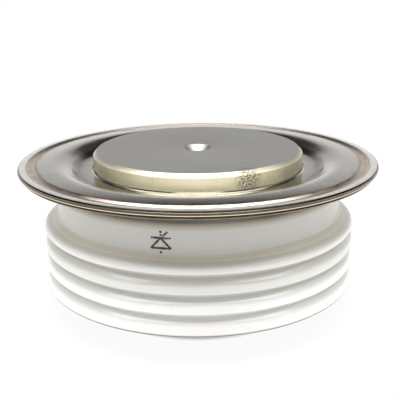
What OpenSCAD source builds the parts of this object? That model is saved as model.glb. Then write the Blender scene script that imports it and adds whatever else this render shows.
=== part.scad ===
// Disc thyristor: a silicon wafer held between two copper poles in a sealed ceramic case.
// Millimetres, +Z up. The origin is the centre of the anode contact face.
// The cathode faces up, and the gate tube points along +Y.

/* [Contacts] */
// Distance between the two contact faces
case_h = 26; // [25:0.5:30]
// Diameter of both poles
contact_d = 34; // [30:0.5:38]
// Bevel round each contact face
contact_bevel = 0.6; // [0.3:0.1:1]
// Bevel round each pole's inner end
inner_bevel = 0.4; // [0.2:0.1:0.8]
// Diameter of the locating hole in each contact face
hole_d = 2.6; // [2:0.1:4]
// Length of the locating hole's straight wall
hole_wall_h = 2.2; // [1.5:0.1:3]
// Countersink at the mouth of the locating hole
hole_bevel = 1.1; // [0.8:0.1:1.4]
// Point angle of the drill that made the locating holes
drill_angle = 118; // [90:1:140]

/* [Cathode flange] */
// Reach of the flange past the ribs of the ceramic
flange_reach = 3.65; // [3:0.05:6]
// Thickness of both flange sheets
flange_t = 0.7; // [0.5:0.05:0.8]
// Drop of the rim below the cathode contact face
lip_drop = 1.7; // [1.4:0.1:2]
// Width of the lip outside the weld trench
lip_w = 1.25; // [1:0.05:2]
// Rounding of the rim's upper edge
lip_round = 0.25; // [0.1:0.05:0.3]
// Width of the cold-weld trench at its top
trench_w = 1.5; // [1.2:0.05:1.8]
// Depth of the cold-weld trench
trench_depth = 0.35; // [0.2:0.05:0.4]
// Drop of the inner ridge below the contact face
ridge_drop = 2.25; // [2:0.05:2.5]
// Drop of the groove round the pole below the contact face
groove_drop = 3; // [2.8:0.1:3.6]
// Width of the groove's floor
groove_w = 2.8; // [2.2:0.1:3]
// Width of the slope from the groove to the ridge
rise_w = 1; // [0.8:0.1:1.4]
// Bend radius of the flange at its groove, at its ridge and beside the trench
flange_bend = 0.6; // [0.5:0.05:0.8]
// Place of the roll's corner, as a share of the way from the ridge to the trench
roll_share = 0.35; // [0.3:0.01:0.45]
// Rise of the roll's corner above the rim, before it is bent round
roll_rise = 0.25; // [0.15:0.05:0.35]
// Bend radius of the roll between the ridge and the trench
roll_bend = 5; // [4:0.5:5.5]
// Height of the collar brazed round each pole
collar_h = 1.5; // [1:0.1:2]
// Bend radius inside that collar
collar_bend = 0.3; // [0.1:0.05:0.5]
// Leg of the braze fillet at the foot of the cathode pole
braze_leg = 0.35; // [0.2:0.05:0.5]

/* [Weld ring] */
// Thickness of the weld ring's sheet
ring_t = 0.6; // [0.4:0.05:0.8]
// Step of the weld ring's edge inside the flange's edge
ring_inset = 0.4; // [0.2:0.1:0.8]
// Reach of the weld ring's seat past the ceramic neck
ring_seat_edge = 0.4; // [0.2:0.1:0.8]
// Bend radius of the weld ring
ring_bend = 0.8; // [0.6:0.1:1]
// Room for the flange to flex above the weld ring's seat
flex_gap = 0.4; // [0.3:0.1:1]

/* [Ceramic] */
// Radial room between the poles and the ceramic
case_gap = 3.2; // [3:0.1:4]
// Wall of the plain neck
neck_wall = 2.8; // [2.4:0.1:4]
// Reach of the ribs past the neck
rib_reach = 2.3; // [2:0.1:3]
// Number of ribs
rib_count = 4; // [2:1:4]
// Distance from rib to rib
rib_pitch = 3; // [2.8:0.1:3.2]
// Depth of the grooves between the ribs
rib_depth = 1.1; // [1:0.05:1.3]
// Height of a rib's nose, from its lower to its upper edge
nose_h = 1.4; // [1.2:0.05:1.6]
// Height of the top rib's nose, under the shoulder
top_nose_h = 1.2; // [1.1:0.05:1.4]
// Rounding of a rib's upper edge
nose_round = 0.9; // [0.4:0.05:1]
// Rounding of a rib's lower edge
edge_round = 0.35; // [0.2:0.05:0.5]
// Rounding at the bottom of a groove
groove_round = 0.3; // [0.2:0.05:0.35]
// Rise of the lowest rib's nose above the ceramic's foot
foot_rise = 0.4; // [0.2:0.1:1]
// Slope of the ribs' upper sides from upright
rib_slope = 50; // [46:1:60]
// Rise of the shoulder from the top rib to the neck
shoulder_rise = 0.7; // [0.3:0.1:1]
// Rounding between the shoulder and the neck
shoulder_round = 0.6; // [0.5:0.1:1.4]
// Rounding of the neck's upper edge
neck_round = 0.3; // [0.2:0.05:0.5]
// Height of the ceramic's foot above the anode contact face
ceramic_foot = 4.5; // [4:0.1:5]
// Step of the anode flange's edge inside the ceramic's ribs
anode_flange_inset = 1.5; // [1:0.1:2]

/* [Silicon stack] */
// Height of the anode pole
anode_pole_h = 8; // [7.5:0.1:9]
// Thickness of the anode's molybdenum disc
anode_disc_t = 2; // [1.5:0.1:2.5]
// Thickness of the silicon wafer
wafer_t = 0.5; // [0.4:0.05:0.8]
// Width of the wafer's bevelled edge
wafer_bevel = 0.6; // [0.3:0.1:1]
// Step of the wafer's edge inside the anode disc's edge
wafer_inset = 0.2; // [0.1:0.05:0.4]
// Width of the silicone bead over the wafer's edge
seal_w = 2; // [1.8:0.1:2.2]
// Height of the silicone bead above the wafer
seal_h = 0.7; // [0.5:0.1:0.9]
// Thickness of the cathode's molybdenum disc
cathode_disc_t = 1.2; // [1:0.1:2]
// Step of that disc's edge inside the cathode pole's edge
cathode_disc_inset = 0.4; // [0.3:0.1:1]
// Diameter of the gate hole in that disc
gate_hole_d = 4.6; // [3:0.1:4.8]
// Wall of the centring ring beside the stack
centring_wall = 1.2; // [0.8:0.1:1.2]
// Gap between the centring ring's ledge and the anode disc above it
ledge_gap = 0.1; // [0.05:0.05:0.3]
// Gap between the centring ring's ledge and the flange collar inside it
ledge_clear = 0.1; // [0.05:0.05:0.3]

/* [Gate] */
// Diameter of the gate pocket in the cathode pole
pocket_d = 5.6; // [5.4:0.1:7]
// Radial play of the guide in the pocket, and of the pin in the guide
guide_play = 0.05; // [0.02:0.01:0.1]
// Wall of the guide round the spring
guide_wall = 0.65; // [0.5:0.05:0.7]
// Floor of the guide under the spring's chamber
guide_floor = 0.9; // [0.6:0.1:1.5]
// Diameter of the gate pin's shank
pin_d = 1.9; // [1.4:0.1:2.2]
// Bevel of the gate pin's tip
pin_tip = 0.3; // [0.1:0.05:0.5]
// Diameter of the gate pin's head
pin_head_d = 3.8; // [3.6:0.1:4]
// Thickness of the gate pin's head
pin_head_t = 1.2; // [1:0.1:1.6]
// Lift of the pin's head off the guide's floor
pin_lift = 0.2; // [0.1:0.1:0.5]
// Height of the compressed gate spring
spring_h = 2.5; // [2.2:0.1:3.2]
// Mean diameter of the gate spring
spring_d = 2.9; // [2.4:0.1:3]
// Wire of the gate spring
spring_wire_d = 0.5; // [0.4:0.05:0.55]
// Turns of the gate spring
spring_turns = 3.5; // [2.5:0.5:4]
// Thickness of the insulating disc above the spring
insulator_t = 0.6; // [0.4:0.1:1]
// Diameter of the gate lead
lead_d = 0.7; // [0.5:0.1:0.8]
// Length of the gate lead held in the pin's head
lead_bite = 1.2; // [0.8:0.1:1.5]
// Diameter of the sleeve over the gate lead
sleeve_d = 1.5; // [1.2:0.1:1.7]
// Play of the sleeve in the pole's slot
slot_play = 0.1; // [0.05:0.05:0.2]
// Bend radius of the gate lead
lead_bend = 1.4; // [1:0.1:1.45]
// Outer diameter of the gate tube
tube_d = 3; // [2.6:0.1:3.6]
// Bore of the gate tube
tube_bore_d = 1.8; // [1.2:0.1:2]
// Reach of the gate tube past the neck
tube_reach = 5; // [4:0.1:6]
// Length of the gate tube's sealed end
tube_seal_l = 3; // [1.5:0.1:3.5]
// Bevel of the gate tube's outer end
tube_bevel = 0.3; // [0.1:0.05:0.4]
// Reach of the gate tube inside the ceramic's bore
tube_stub = 0.1; // [0.05:0.05:0.15]

/* [Hidden] */
$fn = 96;

// Overrun of every cut past the surface it opens
cut = 0.5;
// Chords in each rounded corner of a profile
arc_steps = 6;
// Chords in each turn of the spring, and sides of its wire
turn_steps = 16;
wire_sides = 8;

// Radii, from the poles outwards
contact_r = contact_d / 2;
bore_r = contact_r + case_gap;
neck_r = bore_r + neck_wall;
crest_r = neck_r + rib_reach;
rib_root_r = crest_r - rib_depth;
flange_r = crest_r + flange_reach;
trench_r = flange_r - lip_w - trench_w;
anode_flange_r = crest_r - anode_flange_inset;
stack_r = bore_r - centring_wall;
wafer_r = stack_r - wafer_inset;
seal_r = stack_r - seal_w;
cathode_disc_r = contact_r - cathode_disc_inset;

// Heights of the flanges and of the ceramic between them
lip_z = case_h - lip_drop;
seam_z = lip_z - flange_t;
groove_z = case_h - groove_drop;
ridge_z = case_h - ridge_drop;
ring_seat_z = groove_z - flange_t - flex_gap - ring_t;
foot_nose_z = ceramic_foot + foot_rise;
top_nose_z = foot_nose_z + (rib_count - 1) * rib_pitch;
shoulder_z = top_nose_z + top_nose_h + shoulder_rise;

// Heights of the stack between the poles
wafer_z = anode_pole_h + anode_disc_t;
cathode_disc_z = wafer_z + wafer_t;
pole_z = cathode_disc_z + cathode_disc_t;

// Gate: the pin stands on the wafer, and the lead leaves its head sideways
guide_d = pocket_d - 2 * guide_play;
chamber_d = guide_d - 2 * guide_wall;
pin_head_z = pole_z + guide_floor + pin_lift;
spring_z = pin_head_z + pin_head_t;
insulator_z = spring_z + spring_h;
pocket_h = insulator_z + insulator_t - pole_z;
lead_z = pin_head_z + pin_head_t / 2;
lead_start = pin_head_d / 2 - lead_bite;
slot_w = sleeve_d + 2 * slot_play;
slot_h = lead_z + slot_w / 2 - pole_z;
rise_y = contact_r + case_gap / 2;
tube_z = (shoulder_z + ring_seat_z) / 2;
tube_start = bore_r - tube_stub;
tube_end = neck_r + tube_reach;

// Colours
plated_copper = "#b8b5aa";
plated_sheet = "#b5b1a8";
glaze = "#ecebe6";
molybdenum = "#8b8d90";

// Unit vector along v
function unit(v) = v / norm(v);

// Turn from direction u to direction v, in degrees, positive to the left
function turn_angle(u, v) = atan2(u.x * v.y - u.y * v.x, u * v);

// Chords of the corner at b between a and c, as an arc of radius bend about the corner's own
// centre, moved sideways by shift to the left of the path
function corner(a, b, c, bend, shift = 0) =
    bend == 0 ? [b] :
    let (
        inward = unit(b - a),
        outward = unit(c - b),
        turn = turn_angle(inward, outward),
        side = sign(turn),
        left = [-inward.y, inward.x],
        centre = b - inward * bend * tan(abs(turn) / 2) + left * side * bend,
        first = atan2(-left.y * side, -left.x * side)
    )
    [for (i = [0 : arc_steps])
        centre + (bend - side * shift)
            * [cos(first + turn * i / arc_steps), sin(first + turn * i / arc_steps)]];

// A closed outline from corners [x, y, rounding]
function outline(corners) =
    let (n = len(corners), at = [for (c = corners) [c.x, c.y]])
    [for (i = [0 : n - 1]) each corner(at[(i + n - 1) % n], at[i], at[(i + 1) % n], corners[i][2])];

// One side of a bent sheet whose middle follows corners [x, y, bend radius]
function sheet_side(corners, shift) =
    let (
        n = len(corners),
        at = [for (c = corners) [c.x, c.y]],
        start = unit(at[1] - at[0]),
        stop = unit(at[n - 1] - at[n - 2])
    )
    concat(
        [at[0] + shift * [-start.y, start.x]],
        [for (i = [1 : n - 2]) each corner(at[i - 1], at[i], at[i + 1], corners[i][2], shift)],
        [at[n - 1] + shift * [-stop.y, stop.x]]
    );

// Section of a bent sheet of thickness t
function sheet(corners, t) =
    let (upper = sheet_side(corners, t / 2), lower = sheet_side(corners, -t / 2))
    concat(upper, [for (i = [len(lower) - 1 : -1 : 0]) lower[i]]);

// Locating hole with a countersunk mouth and a drilled point, opening upwards at z = 0
module locating_hole() {
    hole_r = hole_d / 2;
    wall_end = -hole_bevel - hole_wall_h;
    rotate_extrude()
        polygon([
            [0, cut],
            [hole_r + hole_bevel, cut],
            [hole_r + hole_bevel, 0],
            [hole_r, -hole_bevel],
            [hole_r, wall_end],
            [0, wall_end - hole_r / tan(drill_angle / 2)]
        ]);
}

// Turned pole, standing on its inner end with the contact face up
module pole_blank(h) {
    rotate_extrude()
        polygon([
            [0, 0],
            [contact_r - inner_bevel, 0],
            [contact_r, inner_bevel],
            [contact_r, h - contact_bevel],
            [contact_r - contact_bevel, h],
            [0, h]
        ]);
}

module cathode_pole() {
    color(plated_copper)
    difference() {
        translate([0, 0, pole_z]) pole_blank(case_h - pole_z);
        translate([0, 0, case_h]) locating_hole();
        // Pocket for the gate, and the slot for its lead
        translate([0, 0, pole_z - cut]) cylinder(h = pocket_h + cut, d = pocket_d);
        translate([-slot_w / 2, 0, pole_z - cut]) cube([slot_w, contact_r + cut, slot_h + cut]);
    }
}

// Diaphragm: collar round the pole, groove, ridge, broad roll, weld trench and flat rim
module cathode_flange() {
    middle = flange_t / 2;
    collar_r = contact_r + flange_t;
    collar_foot = groove_z - flange_t - collar_h;
    groove_end = contact_r + groove_w;
    ridge_r = groove_end + rise_w;
    roll_r = ridge_r + roll_share * (trench_r - ridge_r);
    trench_foot = trench_w / 4;
    diaphragm = [
        [collar_r + collar_bend, groove_z - middle, 0],
        [groove_end, groove_z - middle, flange_bend],
        [ridge_r, ridge_z - middle, flange_bend],
        [roll_r, lip_z + roll_rise - middle, roll_bend],
        [trench_r, lip_z - middle, flange_bend],
        [flange_r, lip_z - middle, 0]
    ];
    collar_corner = corner(
        [groove_end, groove_z - flange_t],
        [collar_r, groove_z - flange_t],
        [collar_r, collar_foot],
        collar_bend
    );
    color(plated_sheet)
    rotate_extrude()
    difference() {
        // The braze makes a fillet up the pole
        polygon(concat(
            [[contact_r, groove_z + braze_leg], [contact_r + braze_leg, groove_z]],
            sheet(diaphragm, flange_t),
            collar_corner,
            [[collar_r, collar_foot], [contact_r, collar_foot]]
        ));
        // Rounding of the rim's upper edge
        translate([flange_r - lip_round, lip_z - lip_round])
        difference() {
            square(lip_round + cut);
            circle(lip_round);
        }
        // Trench pressed by the cold-welding tool
        polygon([
            [trench_r, lip_z + cut],
            [trench_r, lip_z],
            [trench_r + trench_foot, lip_z - trench_depth],
            [trench_r + trench_w - trench_foot, lip_z - trench_depth],
            [trench_r + trench_w, lip_z],
            [trench_r + trench_w, lip_z + cut]
        ]);
    }
}

// Lower sheet of the welded rim, stepped down to its seat on the ceramic
module weld_ring() {
    middle = ring_t / 2;
    color(plated_sheet)
    rotate_extrude()
        polygon(sheet([
            [bore_r, ring_seat_z + middle, 0],
            [neck_r + ring_seat_edge, ring_seat_z + middle, ring_bend],
            [trench_r, seam_z - middle, ring_bend],
            [flange_r - ring_inset, seam_z - middle, 0]
        ], ring_t));
}

// Corners of one rib, from its upper side down to the groove under it
function rib_corners(nose_z) =
    let (ramp_h = rib_depth / tan(rib_slope))
    [
        [rib_root_r, nose_z + nose_h + ramp_h, groove_round],
        [crest_r, nose_z + nose_h, nose_round],
        [crest_r, nose_z, edge_round],
        [rib_root_r, nose_z, groove_round]
    ];

// Ceramic wall: plain neck above, creepage ribs below, one hole for the gate tube
module ceramic_ring() {
    color(glaze)
    difference() {
        rotate_extrude()
            polygon(outline(concat(
                [
                    [bore_r, ring_seat_z, 0],
                    [neck_r, ring_seat_z, neck_round],
                    [neck_r, shoulder_z, shoulder_round],
                    [crest_r, top_nose_z + top_nose_h, nose_round],
                    [crest_r, top_nose_z, edge_round],
                    [rib_root_r, top_nose_z, groove_round]
                ],
                [for (i = [rib_count - 2 : -1 : 1]) each rib_corners(foot_nose_z + i * rib_pitch)],
                [
                    rib_corners(foot_nose_z)[0],
                    rib_corners(foot_nose_z)[1],
                    [crest_r, ceramic_foot, edge_round],
                    [bore_r, ceramic_foot, 0]
                ]
            )));
        translate([0, bore_r - cut, tube_z]) rotate([-90, 0, 0])
            cylinder(h = neck_wall + 2 * cut, d = tube_d);
    }
}

// Sheet ring under the ceramic, with a collar up the anode pole
module anode_flange() {
    collar_r = contact_r + flange_t;
    color(plated_sheet)
    rotate_extrude()
        polygon(outline([
            [contact_r, ceramic_foot - flange_t, 0],
            [anode_flange_r, ceramic_foot - flange_t, 0],
            [anode_flange_r, ceramic_foot, 0],
            [collar_r, ceramic_foot, collar_bend],
            [collar_r, ceramic_foot + collar_h, 0],
            [contact_r, ceramic_foot + collar_h, 0]
        ]));
}

module anode_pole() {
    color(plated_copper)
    translate([0, 0, anode_pole_h]) rotate([180, 0, 0])
    difference() {
        pole_blank(anode_pole_h);
        translate([0, 0, anode_pole_h]) locating_hole();
    }
}

module anode_molybdenum_disc() {
    color(molybdenum)
    translate([0, 0, anode_pole_h]) cylinder(h = anode_disc_t, r = stack_r);
}

// Wafer with its edge bevelled towards the cathode
module silicon_wafer() {
    color("#4d5563")
    translate([0, 0, wafer_z]) cylinder(h = wafer_t, r1 = wafer_r, r2 = wafer_r - wafer_bevel);
}

// Silicone bead that covers the wafer's bevel and rests on the anode disc beside it
module edge_seal() {
    color("#d9d2c4")
    rotate_extrude()
        polygon([
            [wafer_r, wafer_z],
            [stack_r, wafer_z],
            [stack_r, cathode_disc_z + seal_h / 2],
            [stack_r - seal_h / 2, cathode_disc_z + seal_h],
            [seal_r + seal_h / 2, cathode_disc_z + seal_h],
            [seal_r, cathode_disc_z + seal_h / 2],
            [seal_r, cathode_disc_z],
            [wafer_r - wafer_bevel, cathode_disc_z]
        ]);
}

module cathode_molybdenum_disc() {
    color(molybdenum)
    translate([0, 0, cathode_disc_z])
    difference() {
        cylinder(h = cathode_disc_t, r = cathode_disc_r);
        translate([0, 0, -cut]) cylinder(h = cathode_disc_t + 2 * cut, d = gate_hole_d);
    }
}

// Plastic ring that stands on the anode flange and centres the stack in the ceramic
module centring_ring() {
    ledge_r = contact_r + flange_t + ledge_clear;
    color("#f3f1ea")
    rotate_extrude()
        polygon([
            [ledge_r, ceramic_foot + collar_bend],
            [ledge_r + collar_bend, ceramic_foot],
            [bore_r, ceramic_foot],
            [bore_r, cathode_disc_z + seal_h],
            [stack_r, cathode_disc_z + seal_h],
            [stack_r, anode_pole_h - ledge_gap],
            [ledge_r, anode_pole_h - ledge_gap]
        ]);
}

// Gate contact: bevelled tip on the wafer, shank in the guide, head under the spring
module gate_pin() {
    color("#c9c2a6")
    difference() {
        rotate_extrude()
            polygon([
                [0, cathode_disc_z],
                [pin_d / 2 - pin_tip, cathode_disc_z],
                [pin_d / 2, cathode_disc_z + pin_tip],
                [pin_d / 2, pin_head_z],
                [pin_head_d / 2, pin_head_z],
                [pin_head_d / 2, spring_z],
                [0, spring_z]
            ]);
        translate([0, lead_start, lead_z]) rotate([-90, 0, 0]) cylinder(h = lead_bite + cut, d = lead_d);
    }
}

// Helical wire as a closed tube, a little longer than the spring at both ends
module spring_coil() {
    steps = ceil(spring_turns * turn_steps);
    rings = [for (i = [0 : steps])
        let (a = 360 * spring_turns * i / steps, z = spring_h * i / steps)
        [for (k = [0 : wire_sides - 1])
            let (b = 360 * k / wire_sides, r = (spring_d + spring_wire_d * cos(b)) / 2)
            [r * cos(a), r * sin(a), z + spring_wire_d / 2 * sin(b)]]];
    sides = [for (i = [0 : steps - 1]) for (k = [0 : wire_sides - 1])
        let (n = (k + 1) % wire_sides, low = i * wire_sides, high = low + wire_sides)
        [low + k, high + k, high + n, low + n]];
    first_cap = [for (k = [0 : wire_sides - 1]) k];
    last_cap = [for (k = [wire_sides - 1 : -1 : 0]) steps * wire_sides + k];
    polyhedron([for (ring = rings) each ring], concat(sides, [first_cap, last_cap]));
}

// Gate spring with both ends ground flat
module gate_spring() {
    color("#9a9c9e")
    translate([0, 0, spring_z])
    intersection() {
        spring_coil();
        cylinder(h = spring_h, d = chamber_d);
    }
}

// Insulating bush with a chamber for the spring and a slot for the lead
module gate_guide() {
    color("#efe9dc")
    difference() {
        translate([0, 0, pole_z]) cylinder(h = insulator_z - pole_z, d = guide_d);
        translate([0, 0, pole_z - cut]) cylinder(h = guide_floor + 2 * cut, d = pin_d + 2 * guide_play);
        translate([0, 0, pole_z + guide_floor]) cylinder(h = insulator_z - pole_z, d = chamber_d);
        translate([-slot_w / 2, 0, pole_z + guide_floor])
            cube([slot_w, guide_d / 2 + cut, insulator_z - pole_z]);
    }
}

module gate_insulator() {
    color("#cfc8b4")
    translate([0, 0, insulator_z]) cylinder(h = insulator_t, d = guide_d);
}

// Rod along the lead's route, from y = from out of the pin's head, up the case wall, to y = to
module routed_rod(d, from, to) {
    rise = tube_z - lead_z - 2 * lead_bend;
    rotate([90, 0, 90]) {
        translate([from, lead_z, 0]) rotate([0, 90, 0]) cylinder(h = rise_y - lead_bend - from, d = d);
        translate([rise_y - lead_bend, lead_z + lead_bend, 0])
            rotate_extrude(angle = 90, start = 270) translate([lead_bend, 0]) circle(d = d);
        translate([rise_y, lead_z + lead_bend, 0]) rotate([-90, 0, 0]) cylinder(h = rise, d = d);
        translate([rise_y + lead_bend, tube_z - lead_bend, 0])
            rotate_extrude(angle = 90, start = 90) translate([lead_bend, 0]) circle(d = d);
        translate([rise_y + lead_bend, tube_z, 0])
            rotate([0, 90, 0]) cylinder(h = to - rise_y - lead_bend, d = d);
    }
}

module gate_lead() {
    color("#d8cfae") routed_rod(lead_d, lead_start, tube_end);
}

// Sleeve from the guide's chamber to the inner end of the tube
module gate_lead_sleeve() {
    color("#f6f4ee")
    difference() {
        routed_rod(sleeve_d, chamber_d / 2, tube_start);
        routed_rod(lead_d, lead_start, tube_end);
    }
}

// Tube through the ceramic wall, closed round the lead at its outer end
module gate_tube() {
    tube_l = tube_end - tube_start;
    tube_r = tube_d / 2;
    color(plated_sheet)
    translate([0, tube_start, tube_z]) rotate([-90, 0, 0])
    rotate_extrude()
        polygon([
            [tube_bore_d / 2, 0],
            [tube_r, 0],
            [tube_r, tube_l - tube_bevel],
            [tube_r - tube_bevel, tube_l],
            [lead_d / 2, tube_l],
            [lead_d / 2, tube_l - tube_seal_l],
            [tube_bore_d / 2, tube_l - tube_seal_l]
        ]);
}

cathode_pole();
cathode_flange();
weld_ring();
ceramic_ring();
anode_flange();
anode_pole();
anode_molybdenum_disc();
silicon_wafer();
edge_seal();
cathode_molybdenum_disc();
centring_ring();
gate_pin();
gate_spring();
gate_guide();
gate_insulator();
gate_lead();
gate_lead_sleeve();
gate_tube();
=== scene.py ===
import math

import bmesh
import bpy
from mathutils import Matrix, Vector


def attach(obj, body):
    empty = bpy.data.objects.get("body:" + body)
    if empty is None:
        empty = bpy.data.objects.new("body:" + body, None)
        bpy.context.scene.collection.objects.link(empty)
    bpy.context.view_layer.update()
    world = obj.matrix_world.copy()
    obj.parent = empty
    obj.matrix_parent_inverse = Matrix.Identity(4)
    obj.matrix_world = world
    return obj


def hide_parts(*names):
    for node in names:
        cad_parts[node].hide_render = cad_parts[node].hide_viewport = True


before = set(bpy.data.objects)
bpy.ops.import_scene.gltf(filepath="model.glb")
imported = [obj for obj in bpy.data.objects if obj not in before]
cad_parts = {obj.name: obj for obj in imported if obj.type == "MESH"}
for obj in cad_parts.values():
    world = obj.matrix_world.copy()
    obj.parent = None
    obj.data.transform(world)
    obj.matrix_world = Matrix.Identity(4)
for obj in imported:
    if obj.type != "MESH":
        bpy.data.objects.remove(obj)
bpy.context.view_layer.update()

scene = bpy.context.scene


# Anode pole: the copper disc that the part stands on, turned on a lathe and plated with matte nickel.
# Its upper end carries the silicon stack, and a pin in the heat sink finds the drilled hole below.
mm = 0.001
contact_r = 17.0
contact_bevel = 0.6
inner_bevel = 0.4
anode_pole_h = 8.0
hole_r = 1.3
hole_bevel = 1.1
hole_wall_h = 2.2
drill_angle = 118
drill_point = hole_r / math.tan(math.radians(drill_angle / 2))
worn_edge = 0.06


def rounded(corners, steps=5):
    """Points of a closed section from its corners (radius, height, rounding), in millimetres."""
    points = []
    for i, (x, z, rounding) in enumerate(corners):
        at = Vector((x, z))
        if rounding == 0:
            points.append(at)
            continue
        inward = (at - Vector(corners[i - 1][:2])).normalized()
        outward = (Vector(corners[(i + 1) % len(corners)][:2]) - at).normalized()
        turn = math.atan2(inward.x * outward.y - inward.y * outward.x, inward.dot(outward))
        left = Vector((-inward.y, inward.x)) * math.copysign(1, turn)
        centre = at - inward * rounding * math.tan(abs(turn) / 2) + left * rounding
        first = math.atan2(-left.y, -left.x)
        for k in range(steps + 1):
            angle = first + turn * k / steps
            points.append(centre + rounding * Vector((math.cos(angle), math.sin(angle))))
    return points


def turned(name, section, material, around=360, sharp=24):
    """A closed section in millimetres, turned about the part's axis into one smooth piece."""
    form = bmesh.new()
    rings = []
    for x, z in section:
        steps = 1 if x < 1e-6 else around
        angles = [2 * math.pi * k / around for k in range(steps)]
        rings.append([form.verts.new((x * mm * math.cos(a), x * mm * math.sin(a), z * mm)) for a in angles])
    for one, other in zip(rings, rings[1:] + rings[:1]):
        for k in range(around):
            n = (k + 1) % around
            face = [one[k % len(one)], one[n % len(one)], other[n % len(other)], other[k % len(other)]]
            face = list(dict.fromkeys(face))
            if len(face) > 2:
                form.faces.new(face)
    bmesh.ops.recalc_face_normals(form, faces=form.faces)
    mesh = bpy.data.meshes.new(name)
    form.to_mesh(mesh)
    form.free()
    mesh.shade_smooth()
    mesh.set_sharp_from_angle(angle=math.radians(sharp))
    mesh.materials.append(material)
    piece = bpy.data.objects.new(name, mesh)
    scene.collection.objects.link(piece)
    return piece


def add(tree, kind, inputs=None, **settings):
    """A node of a tree, with its settings, and each input linked or set."""
    node = tree.nodes.new(kind)
    for key, value in settings.items():
        setattr(node, key, value)
    for socket, value in (inputs or {}).items():
        if isinstance(value, bpy.types.NodeSocket):
            tree.links.new(value, node.inputs[socket])
        else:
            node.inputs[socket].default_value = value
    return node


def colour(hexa):
    """A hex sRGB colour as linear RGBA."""
    parts = [int(hexa[i:i + 2], 16) / 255 for i in (1, 3, 5)]
    return [p / 12.92 if p <= 0.04045 else ((p + 0.055) / 1.055) ** 2.4 for p in parts] + [1.0]


def coarseness(size_mm):
    """Texture scale whose grains are about this many millimetres across."""
    return 1 / (size_mm * mm)


def new_finish(name):
    """An empty material, its node tree, and the place on the piece that its patterns read."""
    material = bpy.data.materials.new(name)
    material.use_nodes = True
    tree = material.node_tree
    tree.nodes.clear()
    return material, tree, add(tree, "ShaderNodeTexCoord").outputs["Object"]


def from_axis(tree, place):
    """How far a place on the piece lies from the part's axis."""
    level = add(tree, "ShaderNodeVectorMath", {0: place, 1: (1, 1, 0)}, operation="MULTIPLY").outputs[0]
    return add(tree, "ShaderNodeVectorMath", {0: level}, operation="LENGTH").outputs["Value"]


def turned_nickel(name, face, side, worn=None):
    """Matte nickel plate on turned copper: dull grey faces with faint tool rings, and a side whose warmer,
    paler tone is partly painted reflection of the bright front, speckled where the plating is thin. worn is
    the middle of a rubbed, stained spot."""
    material, tree, place = new_finish(name)
    # The face's tone gives way to the side's on the bevel, just inside both of its edges
    side_r = (contact_r - 0.05) * mm
    on_side = add(tree, "ShaderNodeMapRange", {
        "Value": from_axis(tree, place), "From Min": side_r - contact_bevel * mm, "From Max": side_r,
    }).outputs["Result"]
    blotches = add(tree, "ShaderNodeTexNoise", {
        "Vector": place, "Scale": coarseness(5), "Detail": 3.0}).outputs["Fac"]
    grain = add(tree, "ShaderNodeTexNoise", {
        "Vector": place, "Scale": coarseness(0.22), "Detail": 2.0}).outputs["Fac"]
    flecks = add(tree, "ShaderNodeTexNoise", {
        "Vector": place, "Scale": coarseness(0.45), "Detail": 4.0, "Roughness": 0.7}).outputs["Fac"]
    # The tool rings lie wider apart than a lathe's feed leaves them, so that they show
    ring_pitch = 0.32 * mm
    rings = add(tree, "ShaderNodeTexWave", {
        "Vector": place, "Scale": 2 * math.pi / (20 * ring_pitch), "Distortion": 1.2, "Detail": 1.0,
    }, wave_type="RINGS", rings_direction="Z").outputs["Fac"]

    dull = add(tree, "ShaderNodeMix", {
        "Factor": blotches, 6: colour(face[0]), 7: colour(face[1])}, data_type="RGBA").outputs[2]
    # The side's tone is partly painted reflection of the bright front
    warm = add(tree, "ShaderNodeMix", {
        "Factor": blotches, 6: colour(side[0]), 7: colour(side[1])}, data_type="RGBA").outputs[2]
    plate = add(tree, "ShaderNodeMix", {"Factor": on_side, 6: dull, 7: warm}, data_type="RGBA").outputs[2]
    # Specks of dark oxide, few on the face and more on the side
    amount = add(tree, "ShaderNodeMapRange", {
        "Value": on_side, "To Min": 0.03, "To Max": 0.45}).outputs["Result"]
    speck = add(tree, "ShaderNodeMapRange", {
        "Value": flecks, "From Min": 0.6, "From Max": 0.7, "To Max": amount}).outputs["Result"]
    plate = add(tree, "ShaderNodeMix", {
        "Factor": speck, 6: plate, 7: colour("#6a6350")}, data_type="RGBA").outputs[2]
    if worn:
        spot_r = 2.8 * mm
        spot_core_r = 0.8 * mm
        away = add(tree, "ShaderNodeVectorMath", {
            0: place, 1: [w * mm for w in worn]}, operation="DISTANCE").outputs["Value"]
        rub = add(tree, "ShaderNodeMapRange", {
            "Value": away, "From Min": spot_r, "From Max": spot_core_r, "To Max": 0.8},
            interpolation_type="SMOOTHSTEP").outputs["Result"]
        stain = add(tree, "ShaderNodeMapRange", {
            "Value": grain, "From Min": 0.42, "From Max": 0.56, "To Max": rub}).outputs["Result"]
        plate = add(tree, "ShaderNodeMix", {
            "Factor": stain, 6: plate, 7: colour("#3f3a2b")}, data_type="RGBA").outputs[2]

    rough = add(tree, "ShaderNodeMapRange", {
        "Value": blotches, "From Min": 0.3, "From Max": 0.7, "To Min": 0.44, "To Max": 0.54,
    }).outputs["Result"]
    rough = add(tree, "ShaderNodeMath", {
        0: on_side, 1: 0.06, 2: rough}, operation="MULTIPLY_ADD").outputs[0]
    fine = add(tree, "ShaderNodeBump", {
        "Height": grain, "Strength": 0.10, "Distance": 0.02 * mm}).outputs[0]
    bump = add(tree, "ShaderNodeBump", {
        "Height": rings, "Strength": 0.10, "Distance": 0.01 * mm, "Normal": fine}).outputs[0]
    shader = add(tree, "ShaderNodeBsdfPrincipled", {
        "Base Color": plate, "Metallic": 1.0, "Roughness": rough, "Normal": bump})
    add(tree, "ShaderNodeOutputMaterial", {"Surface": shader.outputs[0]})
    return material


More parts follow.
